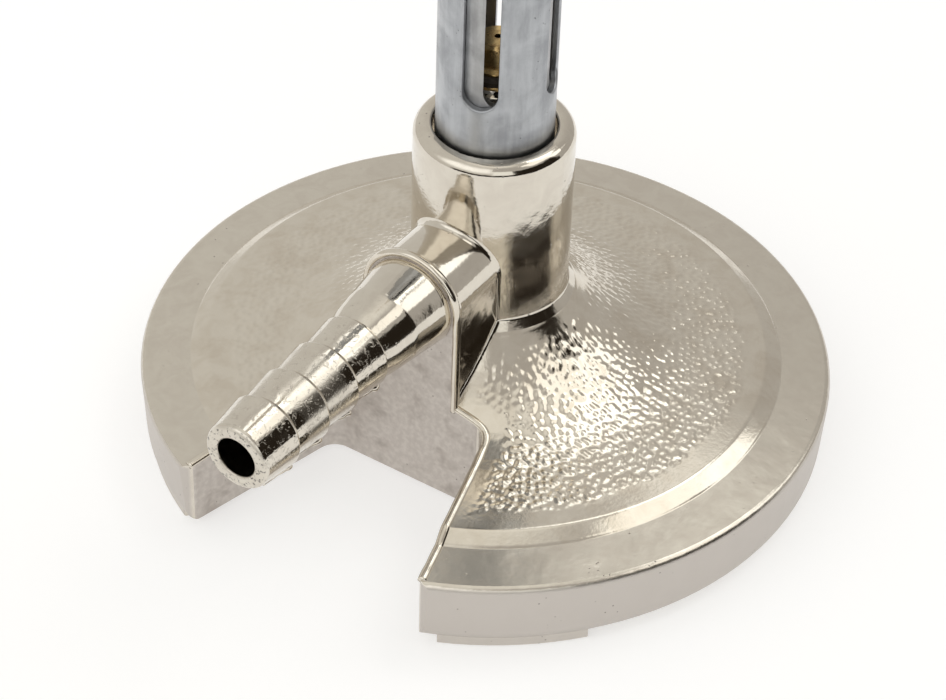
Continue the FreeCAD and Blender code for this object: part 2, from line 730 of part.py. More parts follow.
def make_friction_ring():
    """A split ring of spring wire in the tube's groove, on which the sleeve drags as it turns."""
    body = new_body("friction_ring")
    sketch = new_sketch(body, "ring_section", "YZ_Plane")
    circle(sketch, "ring_wire / 2", across=RING_CENTRE, up=RING_LEVEL)
    revolve(body, sketch, "ring", sweep="ring_sweep", midplane=True)
    return body


def make_barrel():
    """The plain burner barrel, whose turned-down spigot is pressed into the mixing tube's socket."""
    body = new_body("barrel")
    sketch = new_sketch(body, "barrel_outline", "XZ_Plane")
    foot = "mixer_top - barrel_socket"
    bore = "barrel_bore / 2"
    corners = [
        (bore, foot),
        ("barrel_spigot_radius", foot),
        ("barrel_spigot_radius", "mixer_top"),
        ("barrel_radius", "mixer_top"),
        ("barrel_radius", "barrel_top - barrel_edge"),
        ("barrel_radius - barrel_edge", "barrel_top"),
        (bore + " + barrel_edge", "barrel_top"),
        (bore, "barrel_top - barrel_edge"),
    ]
    outline(sketch, corners)
    revolve(body, sketch, "barrel_tube")
    return body


def check_document():
    """Stop if any object of the document failed to build."""
    for item in doc.Objects:
        if "Invalid" in item.State or "Error" in item.State:
            raise RuntimeError("%s did not build: %s" % (item.Name, item.State))


def write_parts(bodies):
    os.makedirs("parts", exist_ok=True)
    for body in bodies:
        shape = body.Shape
        if shape.isNull() or not shape.isValid() or len(shape.Solids) != 1:
            raise RuntimeError("%s has a bad shape" % body.Label)
        shape.exportStep(os.path.join("parts", body.Label + ".step"))


makers = (
    make_base_casting,
    make_jet_washer,
    make_gas_jet,
    make_mixing_tube,
    make_air_sleeve,
    make_friction_ring,
    make_barrel,
)
pieces = [make() for make in makers]
doc.recompute()
check_document()
write_parts(pieces)
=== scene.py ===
"""The looks of a bench gas burner: nickel-plated cast foot with hose tail, slotted air sleeve, brass jet.

Lengths in the comments are millimetres; meshes are in metres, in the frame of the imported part.
The burner's axis is Z, the bench is z = 0 and the hose tail points along -Y.
"""

import math

import bpy
import numpy as np
from mathutils import Matrix, Vector
from mathutils.bvhtree import BVHTree


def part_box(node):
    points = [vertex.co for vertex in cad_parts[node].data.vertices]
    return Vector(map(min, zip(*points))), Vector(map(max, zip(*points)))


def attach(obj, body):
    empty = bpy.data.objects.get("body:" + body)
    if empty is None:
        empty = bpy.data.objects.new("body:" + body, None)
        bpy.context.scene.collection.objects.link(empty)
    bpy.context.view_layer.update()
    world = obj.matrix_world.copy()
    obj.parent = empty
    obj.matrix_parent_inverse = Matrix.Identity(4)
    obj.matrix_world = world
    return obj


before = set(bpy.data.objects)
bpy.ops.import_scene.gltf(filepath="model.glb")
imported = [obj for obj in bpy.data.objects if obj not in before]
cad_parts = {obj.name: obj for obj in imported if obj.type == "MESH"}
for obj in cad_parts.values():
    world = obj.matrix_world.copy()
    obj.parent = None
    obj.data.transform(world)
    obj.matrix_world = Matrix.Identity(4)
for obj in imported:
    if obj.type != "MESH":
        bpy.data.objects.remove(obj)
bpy.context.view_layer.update()  # frame["bodies"], ["nodes"], ["joints"], ["record"]

MM = 0.001
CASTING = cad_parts["base_casting"]

# Sizes of the cast foot that the added surfaces follow, in mm.
FOOT_RADIUS = 42.5
RING_INNER_RADIUS = 36.4
COLUMN_RADIUS = 9.55
NOTCH_END = 17.0
NOTCH_HALF = 11.0
NOTCH_RIM_HALF = 16.3
NOTCH_RIM_DEPTH = math.sqrt(FOOT_RADIUS ** 2 - NOTCH_RIM_HALF ** 2)
NOTCH_FLARE = (NOTCH_RIM_HALF - NOTCH_HALF) / (NOTCH_RIM_DEPTH - NOTCH_END)
BOSS_HALF = 6.6
TAIL_HEIGHT = 28.4
BEAD_POINTS = 20


# ---------------------------------------------------------------- meshes


def smoothstep(low, high, value):
    """0 below low, 1 above high, and a smooth 3t^2 - 2t^3 between them."""
    t = np.clip((value - low) / (high - low), 0.0, 1.0)
    return t * t * (3.0 - 2.0 * t)


def add_mesh(name, points, faces, body, finish):
    """A smooth-shaded piece from an (n, 3) array of points in mm and a list of its faces' corners."""
    mesh = bpy.data.meshes.new(name)
    mesh.from_pydata((points * MM).tolist(), [], faces)
    mesh.polygons.foreach_set("use_smooth", np.ones(len(mesh.polygons), bool))
    mesh.materials.append(finish)
    mesh.update()
    piece = bpy.data.objects.new(name, mesh)
    bpy.context.scene.collection.objects.link(piece)
    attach(piece, body)
    return piece


def grid_faces(rows, columns, close_columns=False):
    """The four-cornered faces of a rows x columns grid of points, numbered row by row."""
    row = np.arange(rows - 1)[:, None]
    column = np.arange(columns if close_columns else columns - 1)[None, :]
    next_row = row + 1
    next_column = (column + 1) % columns
    corners = (row * columns + column, row * columns + next_column,
               next_row * columns + next_column, next_row * columns + column)
    return np.stack(np.broadcast_arrays(*corners), axis=-1).reshape(-1, 4)


def top_height_along(angle, radii):
    """Height in mm of the foot's upper surface at each radius, looking straight down on the casting."""
    mesh = CASTING.data
    places = np.empty(len(mesh.vertices) * 3)
    mesh.vertices.foreach_get("co", places)
    corners = np.empty(len(mesh.loops), int)
    mesh.loops.foreach_get("vertex_index", corners)
    tree = BVHTree.FromPolygons(places.reshape(-1, 3).tolist(), corners.reshape(-1, 3).tolist())
    heights = []
    for radius in radii:
        start = Vector((radius * math.sin(angle), radius * math.cos(angle), 100.0)) * MM
        heights.append(tree.ray_cast(start, Vector((0, 0, -1)))[0].z / MM)
    return np.array(heights)


PROFILE_RADII = np.linspace(COLUMN_RADIUS + 0.3, FOOT_RADIUS - 0.05, 330)
PROFILE_HEIGHTS = top_height_along(math.radians(20), PROFILE_RADII)


def foot_top(x, y):
    """Height in mm of the foot's upper surface, which is the same all round the axis."""
    return np.interp(np.hypot(x, y), PROFILE_RADII, PROFILE_HEIGHTS)


def notch_half_width(y):
    """Half the notch's width in mm where it is y from the axis: 11 at its end wall, flaring to the rim."""
    return NOTCH_HALF + NOTCH_FLARE * (-y - NOTCH_END)


def notch_distance(x, y):
    """Distance in mm from the notch's walls, negative inside it."""
    beside = (np.abs(x) - notch_half_width(y)) / math.hypot(1.0, NOTCH_FLARE)
    behind = y + NOTCH_END
    outside = np.hypot(np.maximum(beside, 0.0), np.maximum(behind, 0.0))
    return np.where((beside < 0) & (behind < 0), np.maximum(beside, behind), outside)


PEBBLE_SPACING = 0.95
PEBBLE_SIZE = 0.34
PEBBLE_RISE = 0.105
PEBBLE_JITTER = 0.30
LATTICE = 128
SKIN_STEP = 0.15
SKIN_LIFT = 0.045
PEBBLES_END = 32.6
PEBBLES_START = 10.9
rng = np.random.default_rng(7)
PEBBLE_SHIFTS = rng.uniform(-PEBBLE_JITTER, PEBBLE_JITTER, (LATTICE, LATTICE, 2)) * PEBBLE_SPACING
PEBBLE_RISES = rng.uniform(0.62, 1.0, (LATTICE, LATTICE)) * PEBBLE_RISE


def pebbles(x, y):
    """Sum of round bumps rise * exp(-(d / size)^2), one at each point of a shaken triangular lattice.

    Lattice row j lies at y = 0.866 s j and holds points at x = s (i + j / 2), each moved both ways by up
    to 0.3 of the spacing s; the lowest bumps are 0.62 times as high as the highest.
    """
    row_height = PEBBLE_SPACING * math.sqrt(0.75)
    row = np.rint(y / row_height).astype(int)
    total = np.zeros_like(x)
    for row_step in (-2, -1, 0, 1, 2):
        j = row + row_step
        column = np.rint(x / PEBBLE_SPACING - j / 2).astype(int)
        for column_step in (-2, -1, 0, 1, 2):
            i = column + column_step
            centre = PEBBLE_SHIFTS[j % LATTICE, i % LATTICE]
            dx = x - (PEBBLE_SPACING * (i + j / 2) + centre[..., 0])
            dy = y - (row_height * j + centre[..., 1])
            total += PEBBLE_RISES[j % LATTICE, i % LATTICE] * np.exp(-(dx * dx + dy * dy) / PEBBLE_SIZE ** 2)
    return total


def soft_noise(x, y, size, seed):
    """Smooth noise from 0 to 1: random values on a square lattice, blended by smoothstep."""
    values = np.random.default_rng(seed).uniform(0, 1, (64, 64))
    u = x / size
    v = y / size
    i = np.floor(u).astype(int)
    j = np.floor(v).astype(int)
    a = smoothstep(0, 1, u - i)
    b = smoothstep(0, 1, v - j)
    low = values[i % 64, j % 64] * (1 - a) + values[(i + 1) % 64, j % 64] * a
    high = values[i % 64, (j + 1) % 64] * (1 - a) + values[(i + 1) % 64, (j + 1) % 64] * a
    return low * (1 - b) + high * b


def add_pebbled_skin(name, first_angle, last_angle, finish):
    """A sector of the dome's pebbled skin: z = dome(r) + lift + pebbles(x, y), on radius and angle.

    The skin covers the dome from the column's foot to the corner below its step. It stands 0.045 above the
    casting and dips under it at both of those edges; its cut edge along the notch lies under the bead.
    """
    inner, outer = COLUMN_RADIUS + 0.6, RING_INNER_RADIUS + 0.15
    radii = np.linspace(inner, outer, int((outer - inner) / SKIN_STEP))
    middle = (inner + outer) / 2
    angles = np.linspace(first_angle, last_angle, int((last_angle - first_angle) * middle * 1.1 / SKIN_STEP))
    radius, angle = np.meshgrid(radii, angles, indexing="ij")
    x = radius * np.sin(angle)
    y = radius * np.cos(angle)
    wander = 0.8 * soft_noise(x + 90, y + 90, 3.0, 3)
    from_edge = PEBBLES_END - radius - wander
    from_notch = notch_distance(x, y)
    from_column = radius - PEBBLES_START - wander
    from_boss = np.where(y < 0, np.abs(x) - BOSS_HALF - 0.6, 9.0)
    smooth_margin = np.minimum(np.minimum(from_edge, from_column), np.minimum(from_notch - 1.9, from_boss))
    grain = smoothstep(0.0, 1.3, smooth_margin)
    dip_outside = 2 * SKIN_LIFT * smoothstep(outer - 0.45, outer, radius)
    dip_inside = 0.10 * smoothstep(inner + 0.5, inner, radius)
    lift = SKIN_LIFT - dip_outside - dip_inside
    z = foot_top(x, y) + lift + pebbles(x, y) * grain
    points = np.stack([x, y, z], axis=-1).reshape(-1, 3)
    faces = grid_faces(*x.shape)
    kept = (from_notch.reshape(-1)[faces] > 0.30).all(axis=1)
    faces = faces[kept]
    used, flat = np.unique(faces, return_inverse=True)
    return add_mesh(name, points[used], flat.reshape(-1, 4).tolist(), "burner", finish)


def volume(points, faces):
    """Signed volume inside a closed mesh: a sixth of the sum of a . (b x c) over its triangles."""
    a, b, c = (points[faces[:, k]] for k in range(3))
    return np.einsum("ij,ij->i", a, np.cross(b, c)).sum() / 6


def add_swept(name, path, across, up, section, finish):
    """Carries a closed section along a path: point = path + u * across + v * up.

    path, across and up are (n, 3) arrays; section is an (n, m, 2) or (m, 2) array of the (u, v) round the
    section. Each end closes on its middle, and the faces are turned over if the volume that they enclose
    comes out negative.
    """
    section = np.broadcast_to(section, (len(path),) + section.shape[-2:])
    ring = path[:, None] + section[..., :1] * across[:, None] + section[..., 1:] * up[:, None]
    count = section.shape[-2]
    points = np.concatenate([ring.reshape(-1, 3), ring[:1].mean(axis=1), ring[-1:].mean(axis=1)])
    sides = grid_faces(len(path), count, close_columns=True)
    around = np.arange(count)
    after = (around + 1) % count
    last_ring = (len(path) - 1) * count
    start_middle = np.full(count, len(path) * count)
    ends = np.concatenate([
        np.stack([start_middle, after, around], axis=1),
        np.stack([start_middle + 1, last_ring + around, last_ring + after], axis=1),
    ])
    triangles = np.concatenate([sides[:, [0, 1, 2]], sides[:, [0, 2, 3]], ends])
    if volume(points, triangles) < 0:
        sides = sides[:, ::-1]
        ends = ends[:, ::-1]
    return add_mesh(name, points, sides.tolist() + ends.tolist(), "burner", finish)


def resample(corners, step):
    """Points every step mm along a run of straight lines."""
    corners = np.asarray(corners, float)
    lengths = np.concatenate([[0], np.cumsum(np.hypot(*np.diff(corners, axis=0).T))])
    places = np.linspace(0, lengths[-1], int(lengths[-1] / step))
    return np.stack([np.interp(places, lengths, corners[:, k]) for k in range(2)], axis=1)


def rounded(points, passes):
    """Rounds a run of points by averaging each with its two neighbours; the ends stay."""
    points = points.copy()
    for _ in range(passes):
        points[1:-1] = (points[:-2] + 2 * points[1:-1] + points[2:]) / 4
    return points


def add_notch_bead(name, side, finish):
    """The raised bead along one side of the notch: a half-buried oval carried along the notch's top edge."""
    oval = np.linspace(0, 2 * math.pi, BEAD_POINTS, endpoint=False)
    reach = NOTCH_RIM_DEPTH - 0.9
    corners = [
        (side * notch_half_width(-reach), -reach),
        (side * NOTCH_HALF, -NOTCH_END),
        (side * (BOSS_HALF - 0.2), -NOTCH_END),
    ]
    plan = rounded(resample(corners, 0.25), 40)
    along = np.gradient(plan, axis=0)
    along /= np.linalg.norm(along, axis=1)[:, None]
    inward = np.stack([-along[:, 1], along[:, 0]], axis=1) * -side
    middle = plan + inward * 0.46
    height = foot_top(middle[:, 0], middle[:, 1])
    path = np.column_stack([middle, height - 0.06])
    across = np.column_stack([inward, np.zeros(len(plan))])
    up = np.tile([0.0, 0.0, 1.0], (len(plan), 1))
    uneven = 1 + 0.16 * (soft_noise(plan[:, 0] + 50, plan[:, 1] + 50, 1.4, 11) - 0.5)
    section = np.stack([0.52 * np.cos(oval), 0.38 * np.sin(oval)], axis=1)
    section = section[None] * uneven[:, None, None]
    return add_swept(name, path, across, up, section, finish)


def add_boss_bead(finish):
    """The bead round the end of the boss: up one flank, over the top and down the other.

    Its middle line is an arch of radius 6.3 about the tail's axis; its section is an oval that
    stands a little out of the boss and a little in front of the notch's end wall.
    """
    arch_radius = 6.30
    foot = foot_top(arch_radius, -NOTCH_END) - 0.3
    flank_points = 39
    flank = np.linspace(foot, TAIL_HEIGHT, flank_points + 1)[:-1]
    turn = np.linspace(0, math.pi, 72)
    right = np.full(flank_points, arch_radius)
    x = np.concatenate([right, arch_radius * np.cos(turn), -right])
    z = np.concatenate([flank, TAIL_HEIGHT + arch_radius * np.sin(turn), flank[::-1]])
    sideways = np.ones(flank_points)
    level = np.zeros(flank_points)
    out_x = np.concatenate([sideways, np.cos(turn), -sideways])
    out_z = np.concatenate([level, np.sin(turn), level])
    zero = np.zeros(len(x))
    path = np.column_stack([x, zero - NOTCH_END + 0.36, z])
    across = np.column_stack([out_x, zero, out_z])
    forward = np.column_stack([zero, zero - 1.0, zero])
    oval = np.linspace(0, 2 * math.pi, BEAD_POINTS, endpoint=False)
    uneven = 1 + 0.14 * (soft_noise(x + 40, z + 40, 1.7, 17) - 0.5)
    section = np.stack([0.46 * np.cos(oval), 0.52 * np.sin(oval)], axis=1)[None] * uneven[:, None, None]
    return add_swept("boss_bead", path, across, forward, section, finish)


TAPER_END = 26.0
BARB_RADIUS = 4.7
NECK_RADIUS = 4.22
TIP_RADIUS = 4.1
TAIL_LENGTH = 50.1
FIRST_NECK = 27.6
BARB_STEP = 0.6
BARB_PITCH = 5.5
BARBS = 4


def barb_radius_at(distance):
    """Radius in mm of the tail at a distance from the axis: straight lines between each neck and barb."""
    places = [TAPER_END]
    radii = [BARB_RADIUS]
    for number in range(BARBS):
        neck = FIRST_NECK + BARB_PITCH * number
        places += [neck, neck + BARB_STEP]
        radii += [NECK_RADIUS, BARB_RADIUS]
    return np.interp(distance, places + [TAIL_LENGTH], radii + [TIP_RADIUS])


def add_mould_flash(name, angle, finish):
    """The ragged fin that the mould left along the tail: a thin oval carried along the barbs.

    Its height is 0.08, plus up to 0.12 of noise, plus a torn bump of up to 0.34 behind each barb that
    follows exp(-((d - barb - 0.5) / 0.95)^2).
    """
    distance = np.linspace(TAPER_END + 0.6, TAIL_LENGTH - 1.0, 260)
    radius = barb_radius_at(distance)
    barbs = FIRST_NECK + BARB_STEP + BARB_PITCH * np.arange(BARBS)
    torn = np.exp(-((distance[:, None] - barbs - 0.5) / 0.95) ** 2).sum(axis=1)
    ragged = soft_noise(distance * 1.6, distance * 0, 1.0, 23)
    height = 0.08 + 0.12 * ragged + 0.34 * torn * (0.5 + 0.5 * ragged)
    out = np.array([math.cos(angle), 0.0, math.sin(angle)])
    side = np.array([-math.sin(angle), 0.0, math.cos(angle)])
    wander = 0.25 * (soft_noise(distance, distance * 0 + 7, 1.6, 29) - 0.5)
    axis = np.column_stack([distance * 0, -distance, distance * 0 + TAIL_HEIGHT])
    path = axis + (radius - 0.15)[:, None] * out + wander[:, None] * side
    across = np.tile(out, (len(path), 1))
    up = np.tile(side, (len(path), 1))
    oval = np.linspace(0, 2 * math.pi, 14, endpoint=False)
    thickness = 0.22 + 0.20 * torn
    section = np.stack([np.cos(oval) * (height + 0.15)[:, None], np.sin(oval) * thickness[:, None]], axis=2)
    return add_swept(name, path, across, up, section, finish)


# ---------------------------------------------------------------- finishes


# The Mix node's colour sockets come after its number and vector sockets.
MIX_COLOUR_A = 6
MIX_COLOUR_B = 7
MIX_COLOUR_RESULT = 2


class Finish:
    """A metal finish: a Principled shader and short calls for the nodes that shape its colour and relief."""

    def __init__(self, name, colour, roughness, metallic=1.0):
        self.material = bpy.data.materials.new(name)
        self.material.use_nodes = True
        self.tree = self.material.node_tree
        self.shader = self.tree.nodes["Principled BSDF"]
        self.shader.inputs["Base Color"].default_value = (*colour, 1)
        self.shader.inputs["Metallic"].default_value = metallic
        self.shader.inputs["Roughness"].default_value = roughness
        coords = self.tree.nodes.new("ShaderNodeTexCoord")
        scale = self.tree.nodes.new("ShaderNodeVectorMath")
        scale.operation = "SCALE"
        scale.inputs["Scale"].default_value = 1 / MM
        self.link(coords.outputs["Object"], scale.inputs[0])
        self.place = scale.outputs[0]
        split = self.tree.nodes.new("ShaderNodeSeparateXYZ")
        self.link(self.place, split.inputs[0])
        self.x, self.y, self.z = split.outputs

    def link(self, source, target):
        self.tree.links.new(source, target)

    def plug(self, value, socket):
        if isinstance(value, (int, float)):
            socket.default_value = value
        elif isinstance(value, tuple):
            socket.default_value = (*value, 1)
        else:
            self.link(value, socket)

    def math(self, operation, a, b=0.0, c=None):
        node = self.tree.nodes.new("ShaderNodeMath")
        node.operation = operation
        self.plug(a, node.inputs[0])
        self.plug(b, node.inputs[1])
        if c is not None:
            self.plug(c, node.inputs[2])
        return node.outputs[0]

    def fade(self, value, low, high, to_low=0.0, to_high=1.0):
        """A smooth change from to_low at low to to_high at high."""
        node = self.tree.nodes.new("ShaderNodeMapRange")
        node.interpolation_type = "SMOOTHSTEP"
        self.plug(value, node.inputs["Value"])
        node.inputs["From Min"].default_value = low
        node.inputs["From Max"].default_value = high
        node.inputs["To Min"].default_value = to_low
        node.inputs["To Max"].default_value = to_high
        return node.outputs["Result"]

    def band(self, value, low, high, edge):
        """1 between low and high, fading to 0 over edge on both sides."""
        rising = self.fade(value, low - edge, low + edge)
        falling = self.fade(value, high - edge, high + edge, 1.0, 0.0)
        return self.math("MULTIPLY", rising, falling)

    def radius(self):
        """Distance from the burner's axis in mm."""
        across = self.math("MULTIPLY", self.x, self.x)
        along = self.math("MULTIPLY", self.y, self.y)
        return self.math("SQRT", self.math("ADD", across, along))

    def noise(self, per_mm, detail=3.0, rough=0.55, distortion=0.0, place=None):
        node = self.tree.nodes.new("ShaderNodeTexNoise")
        node.inputs["Scale"].default_value = per_mm
        node.inputs["Detail"].default_value = detail
        node.inputs["Roughness"].default_value = rough
        node.inputs["Distortion"].default_value = distortion
        self.link(place or self.place, node.inputs["Vector"])
        return node.outputs["Fac"]

    def cells(self, per_mm, randomness=1.0, place=None):
        """Distance to the nearest of scattered points."""
        node = self.tree.nodes.new("ShaderNodeTexVoronoi")
        node.inputs["Scale"].default_value = per_mm
        node.inputs["Randomness"].default_value = randomness
        self.link(place or self.place, node.inputs["Vector"])
        return node.outputs["Distance"]

    def stretched(self, x, y, z):
        """The place, stretched along each axis."""
        node = self.tree.nodes.new("ShaderNodeMapping")
        node.inputs["Scale"].default_value = (x, y, z)
        self.link(self.place, node.inputs["Vector"])
        return node.outputs["Vector"]

    def blend(self, share, a, b):
        """Colour a where share is 0, colour b where it is 1."""
        node = self.tree.nodes.new("ShaderNodeMix")
        node.data_type = "RGBA"
        self.plug(share, node.inputs["Factor"])
        self.plug(a, node.inputs[MIX_COLOUR_A])
        self.plug(b, node.inputs[MIX_COLOUR_B])
        return node.outputs[MIX_COLOUR_RESULT]

    def mix(self, share, a, b):
        """Number a where share is 0, number b where it is 1."""
        span = self.math("SUBTRACT", b, a)
        return self.math("MULTIPLY_ADD", share, span, a)

    def relief(self, height, millimetres, strength=1.0):
        """Bumps the surface by a height map times a depth in mm; calls add up."""
        node = self.tree.nodes.new("ShaderNodeBump")
        node.inputs["Strength"].default_value = strength
        node.inputs["Distance"].default_value = millimetres * MM
        self.link(height, node.inputs["Height"])
        before = self.shader.inputs["Normal"].links
        if before:
            self.link(before[0].from_socket, node.inputs["Normal"])
        self.link(node.outputs["Normal"], self.shader.inputs["Normal"])

    def set(self, **sockets):
        for name, value in sockets.items():
            self.plug(value, self.shader.inputs[name.replace("_", " ")])
        return self.material


NICKEL = (0.70, 0.655, 0.575)
# How fast the tail's root swells going out from the boss, and falls again towards the first barb, mm per mm.
ROOT_SWELL_RISE = 0.09
ROOT_SWELL_FALL = 0.17


def nickel_on_casting():
    """Plated casting: bright column, boss and tail, satin ring, duller rim wall, rough dull notch walls."""
    f = Finish("plated_casting", NICKEL, 0.1)
    radius = f.radius()
    abs_x = f.math("ABSOLUTE", f.x)
    # Walls of the notch, by their distance from its plan.
    half = f.math("MULTIPLY_ADD", f.math("ADD", f.y, NOTCH_END), -NOTCH_FLARE, NOTCH_HALF)
    beside = f.math("SUBTRACT", abs_x, half)
    side_wall = f.math("MULTIPLY", f.band(beside, -0.25, 0.12, 0.02), f.fade(f.y, -16.4, -17.2))
    end_wall = f.math("MULTIPLY", f.band(f.y, -17.15, -16.93, 0.02), f.fade(abs_x, 11.6, 11.4))
    notch_wall = f.math("MAXIMUM", side_wall, end_wall)
    underside = f.math("MULTIPLY", f.fade(radius, 41.3, 41.2), f.fade(f.z, 8.5, 8.0))
    raw = f.math("MAXIMUM", notch_wall, f.math("MULTIPLY", underside, f.fade(radius, 39.5, 39.0)))
    ring = f.band(radius, 35.2, 42.9, 0.5)
    wall = f.math("MULTIPLY", f.fade(radius, 41.4, 41.9), f.fade(f.z, 9.75, 9.3))
    dome = f.math("MULTIPLY", f.band(radius, 12.5, 35.2, 0.8), f.fade(f.z, 21.0, 20.0))

    tail = f.math("MULTIPLY", f.fade(f.y, -26.0, -28.0), f.fade(f.z, 22.0, 23.0))
    tip = f.fade(f.y, -TAIL_LENGTH + 0.45, -TAIL_LENGTH + 0.1)

    grain = f.noise(1.3, 4.0, 0.55)
    mottle = f.noise(0.35, 6.0, 0.62, 0.6)
    patches = f.noise(0.22, 2.0)
    flecks = f.fade(f.cells(1.1), 0.15, 0.05)
    pits = f.math("MULTIPLY", flecks, f.fade(patches, 0.54, 0.64))
    # Wear on the tail: small dents and scratches that break up the reflections.
    dents = f.fade(f.noise(1.5, 3.0, 0.6, 0.8), 0.56, 0.68)
    scratches = f.fade(f.noise(2.2, 2.0, 0.6, 2.2, f.stretched(1.0, 0.45, 1.0)), 0.66, 0.74)
    worn = f.math("MULTIPLY", f.math("MAXIMUM", dents, scratches), tail)

    plate = f.blend(f.fade(mottle, 0.3, 0.75), NICKEL, (0.645, 0.595, 0.52))
    plate = f.blend(wall, plate, (0.57, 0.53, 0.49))
    dull = f.blend(f.fade(grain, 0.35, 0.7), (0.55, 0.505, 0.465), (0.63, 0.585, 0.54))
    clouds = f.fade(f.noise(0.30, 3.0, 0.55, 0.3), 0.50, 0.76)
    dull = f.blend(clouds, dull, (0.42, 0.375, 0.34))
    colour = f.blend(raw, plate, dull)
    colour = f.blend(f.math("MULTIPLY", pits, 0.75), colour, (0.13, 0.115, 0.10))
    speckle = f.fade(f.noise(2.6, 3.0, 0.6), 0.56, 0.66)
    colour = f.blend(f.math("MULTIPLY", tip, speckle), colour, (0.16, 0.15, 0.14))
    colour = f.blend(f.math("MULTIPLY", worn, 0.25), colour, (0.30, 0.27, 0.23))

    rough = f.mix(dome, 0.075, 0.12)
    rough = f.mix(ring, rough, 0.20)
    rough = f.mix(wall, rough, 0.42)
    rough = f.mix(raw, rough, 0.50)
    rough = f.mix(tip, rough, 0.38)
    rough = f.math("MULTIPLY_ADD", f.fade(mottle, 0.3, 0.8), 0.05, rough)
    rough = f.math("MULTIPLY_ADD", f.math("MAXIMUM", pits, worn), 0.10, rough)

    # The root of the tail runs nearly straight out of the boss and tapers more just before the first barb.
    out_from_boss = f.math("MULTIPLY", f.math("ADD", f.y, NOTCH_END), -ROOT_SWELL_RISE)
    in_to_barb = f.math("MULTIPLY", f.math("ADD", f.y, TAPER_END), ROOT_SWELL_FALL)
    swell = f.math("MAXIMUM", f.math("SMOOTH_MIN", out_from_boss, in_to_barb, 0.15), 0.0)
    f.relief(f.math("MULTIPLY", swell, f.fade(f.z, 21.8, 22.6)), 1.0)
    f.relief(f.noise(0.16, 2.0), 0.10)
    f.relief(f.math("MULTIPLY", grain, raw), 0.025)
    f.relief(f.math("MULTIPLY", pits, -1.0), 0.03)
    f.relief(f.math("MULTIPLY", worn, -1.0), 0.009)
    f.relief(f.noise(0.9, 3.0), 0.016)
    return f.set(Base_Color=colour, Roughness=rough)


def nickel_on_dome():
    """Plating over the cast pebbles: bright, with a warm film in cloudy patches."""
    f = Finish("plated_pebbles", NICKEL, 0.12)
    mottle = f.noise(0.3, 5.0, 0.6, 0.4)
    colour = f.blend(f.fade(mottle, 0.35, 0.75), (0.72, 0.67, 0.585), (0.64, 0.58, 0.49))
    rough = f.fade(f.noise(0.5, 4.0), 0.3, 0.8, 0.10, 0.17)
    f.relief(f.noise(2.2, 3.0), 0.010)
    return f.set(Base_Color=colour, Roughness=rough)


def zinc(name, light, dark, roughness):
    """Bare die-cast zinc: blue-grey, cloudy, with fine pits in patches."""
    f = Finish(name, light, roughness)
    cloud = f.noise(0.25, 6.0, 0.6, 0.5)
    streak = f.noise(0.8, 4.0, 0.6, 0.0, f.stretched(1.0, 1.0, 0.12))
    share = f.math("MULTIPLY_ADD", streak, 0.5, f.math("MULTIPLY", cloud, 0.6))
    colour = f.blend(f.fade(share, 0.38, 0.72), light, dark)
    pits = f.math("MULTIPLY", f.fade(f.cells(1.5), 0.17, 0.06), f.fade(f.noise(0.30, 2.0), 0.55, 0.66))
    colour = f.blend(f.math("MULTIPLY", pits, 0.7), colour, (0.10, 0.105, 0.115))
    rough = f.fade(cloud, 0.3, 0.75, roughness - 0.05, roughness + 0.09)
    f.relief(f.noise(0.5, 4.0), 0.04)
    f.relief(f.math("MULTIPLY", pits, -1.0), 0.03)
    f.relief(f.noise(3.0, 4.0, 0.7), 0.03)
    return f.set(Base_Color=colour, Roughness=rough)


def turned_brass():
    """Machined brass: rings left by the tool, tarnished darker in patches."""
    f = Finish("turned_brass", (0.80, 0.57, 0.25), 0.2)
    tarnish = f.noise(0.9, 4.0, 0.6, 0.4)
    colour = f.blend(f.fade(tarnish, 0.4, 0.75), (0.83, 0.61, 0.29), (0.46, 0.30, 0.13))
    rings = f.noise(5.0, 2.0, 0.5, 0.0, f.stretched(0.05, 0.05, 1.0))
    f.relief(rings, 0.02)
    return f.set(Base_Color=colour, Roughness=f.fade(tarnish, 0.3, 0.8, 0.16, 0.34))


def dark_fibre():
    """Pressed fibre of the washer: matt brown-black with paler patches of hairs."""
    f = Finish("dark_fibre", (0.05, 0.04, 0.035), 0.8, 0.0)
    hairs = f.noise(3.0, 5.0, 0.7, 1.0)
    colour = f.blend(f.fade(hairs, 0.5, 0.8), (0.045, 0.036, 0.03), (0.14, 0.11, 0.085))
    f.relief(hairs, 0.03)
    return f.set(Base_Color=colour)


def spring_steel():
    """Drawn steel wire under a cloudy film of oil."""
    f = Finish("spring_steel", (0.42, 0.42, 0.43), 0.3)
    film = f.noise(0.8, 4.0)
    colour = f.blend(f.fade(film, 0.4, 0.7), (0.45, 0.45, 0.46), (0.30, 0.28, 0.26))
    f.relief(f.noise(4.0, 2.0), 0.006)
    return f.set(Base_Color=colour, Roughness=f.fade(film, 0.3, 0.7, 0.24, 0.4))


def nickel_on_tube():
    """Plated brass tube: bright, with faint rings and a heat tint near the mouth."""
    f = Finish("plated_tube", NICKEL, 0.18)
    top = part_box("barrel")[1].z / MM
    tint = f.fade(f.math("ADD", f.z, f.math("MULTIPLY", f.noise(0.12, 3.0), 14.0)), top - 14.0, top + 6.0)
    cloud = f.noise(0.3, 5.0, 0.6, 0.3)
    colour = f.blend(f.fade(cloud, 0.35, 0.75), (0.72, 0.68, 0.61), (0.60, 0.56, 0.49))
    colour = f.blend(f.math("MULTIPLY", tint, 0.75), colour, (0.44, 0.31, 0.22))
    rings = f.noise(1.3, 3.0, 0.5, 0.0, f.stretched(0.04, 0.04, 1.0))
    f.relief(rings, 0.012)
    return f.set(Base_Color=colour, Roughness=f.fade(cloud, 0.3, 0.8, 0.16, 0.28))


